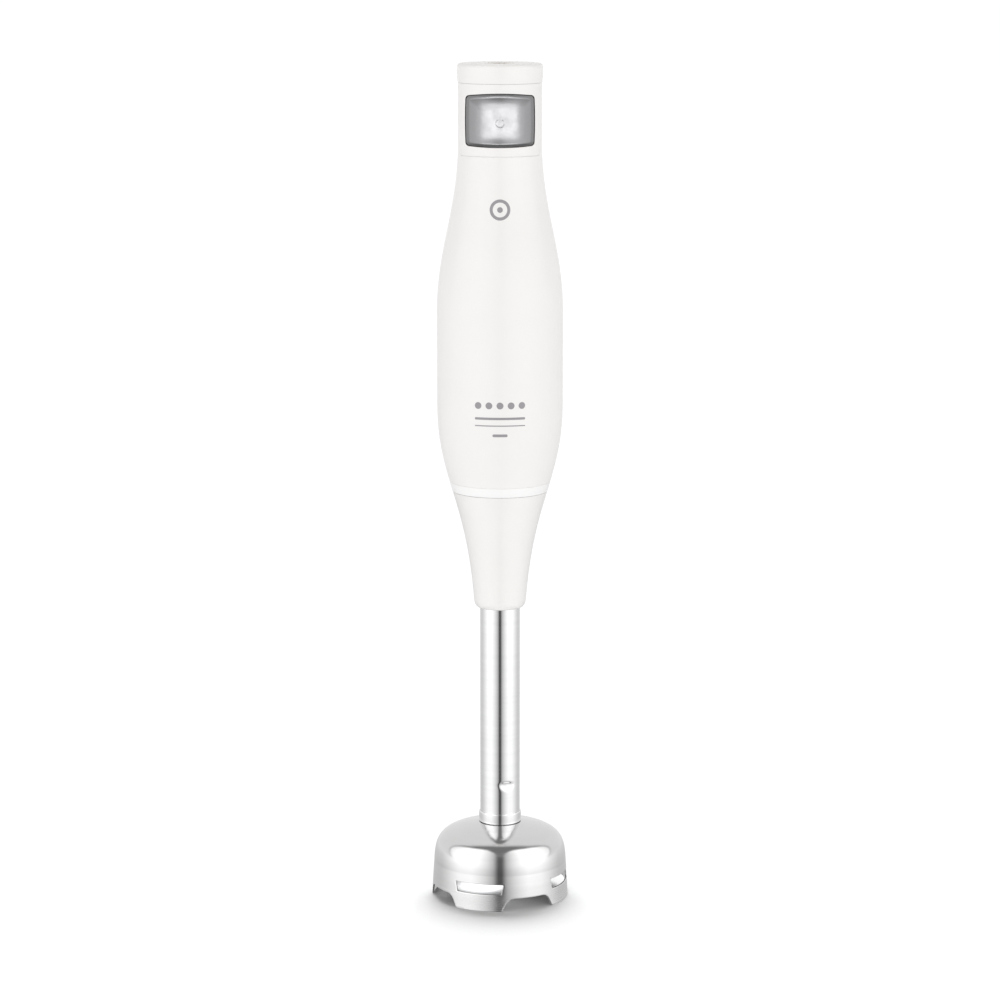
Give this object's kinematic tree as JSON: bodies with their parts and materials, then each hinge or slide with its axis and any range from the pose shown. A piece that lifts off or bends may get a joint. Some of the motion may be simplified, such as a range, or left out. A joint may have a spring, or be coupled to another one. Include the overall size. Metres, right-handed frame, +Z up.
{
  "type": "immersion blender",
  "caption": "Hand-held immersion blender: waisted motor handle with a thumb button, a pull-off steel shaft, and a toothed, slotted bell guard around a small blade.",
  "frame": {"origin": "centre of the plane that the bell's teeth stand on", "axes": "+Z up along the handle; -Y is the front, where the power button is; +X is the right-hand side seen from the front"},
  "size_m": [0.0656, 0.0656, 0.4],
  "materials": {
    "cream_plastic": "gloss",
    "white_plastic": "gloss",
    "silver_plastic": "satin metallic",
    "grey_plastic": "moulded",
    "black_plastic": "moulded",
    "red_plastic": "gloss",
    "yellow_plastic": "gloss",
    "blue_lacquer": "gloss",
    "board_laminate": "solder mask",
    "soft_rubber": "moulded",
    "cream_rubber": "moulded",
    "polished_steel": "polished",
    "brushed_sheet": "brushed",
    "blade_steel": "ground",
    "bearing_steel": "ground",
    "spring_steel": "drawn",
    "screw_steel": "zinc plated",
    "lamination_steel": "varnished",
    "cast_alloy": "cast",
    "copper_wire": "enamelled",
    "sheet_brass": "drawn",
    "carbon": "pressed"
  },
  "bodies": {
    "handle": {"front_shell": "cream_plastic", "rear_shell": "cream_plastic", "top_cap": "cream_plastic", "cord_gland": "cream_rubber", "switch_panel": "cream_plastic", "coupling_ring": "white_plastic", "socket_housing": "grey_plastic", "retaining_clip": "spring_steel", "circuit_board": "board_laminate", "micro_switch": "black_plastic", "terminal_block": "white_plastic", "filter_capacitor": "yellow_plastic", "noise_chokes": "copper_wire", "bleed_resistor": "blue_lacquer", "motor_leads": "red_plastic", "stator_stack": "lamination_steel", "field_coils": "copper_wire", "lower_motor_bracket": "cast_alloy", "upper_motor_bracket": "cast_alloy", "lower_bearing": "bearing_steel", "upper_bearing": "bearing_steel", "lower_motor_mount": "soft_rubber", "upper_motor_mount": "soft_rubber", "brush_holders": "sheet_brass", "carbon_brushes": "carbon", "brush_springs": "spring_steel", "motor_screws": "screw_steel", "housing_screws": "screw_steel"},
    "button": {"power_button": "silver_plastic", "switch_plunger": "red_plastic", "button_spring": "spring_steel"},
    "rotor": {"armature_shaft": "bearing_steel", "armature_core": "lamination_steel", "armature_windings": "copper_wire", "commutator": "copper_wire", "cooling_fan": "black_plastic", "motor_dog": "black_plastic"},
    "foot": {"foot_cone": "cream_plastic", "foot_spigot": "grey_plastic", "coupling_o_ring": "soft_rubber", "shaft_tube": "polished_steel", "tube_collar": "polished_steel", "bell": "brushed_sheet", "bearing_carrier": "grey_plastic", "upper_bush": "sheet_brass", "lower_bush": "sheet_brass", "shaft_seal": "soft_rubber", "seal_retainer": "screw_steel"},
    "drive": {"drive_shaft": "bearing_steel", "driven_dog": "black_plastic", "blade": "blade_steel", "blade_nut": "screw_steel", "thrust_washers": "screw_steel", "circlip": "spring_steel"}
  },
  "joints": [
    {"name": "button_press", "type": "slide", "parent": "handle", "child": "button", "axis": [0, 1, 0], "range_m": [0, 0.0025], "stiffness_N_per_m": 600, "springref_m": -0.003, "deforming": ["button_spring"]},
    {"name": "motor_spin", "type": "hinge", "parent": "handle", "child": "rotor", "pos_m": [0, 0, 0.263], "axis": [0, 0, 1], "continuous": true},
    {"name": "foot_release", "type": "slide", "parent": "handle", "child": "foot", "axis": [0, 0, -1], "range_m": [0, 0.05], "deforming": ["retaining_clip"]},
    {"name": "blade_spin", "type": "hinge", "parent": "foot", "child": "drive", "pos_m": [0, 0, 0.1], "axis": [0, 0, 1], "continuous": true}
  ],
  "couplings": [
    {"joint": "blade_spin", "follows": "motor_spin", "ratio": 1}
  ]
}
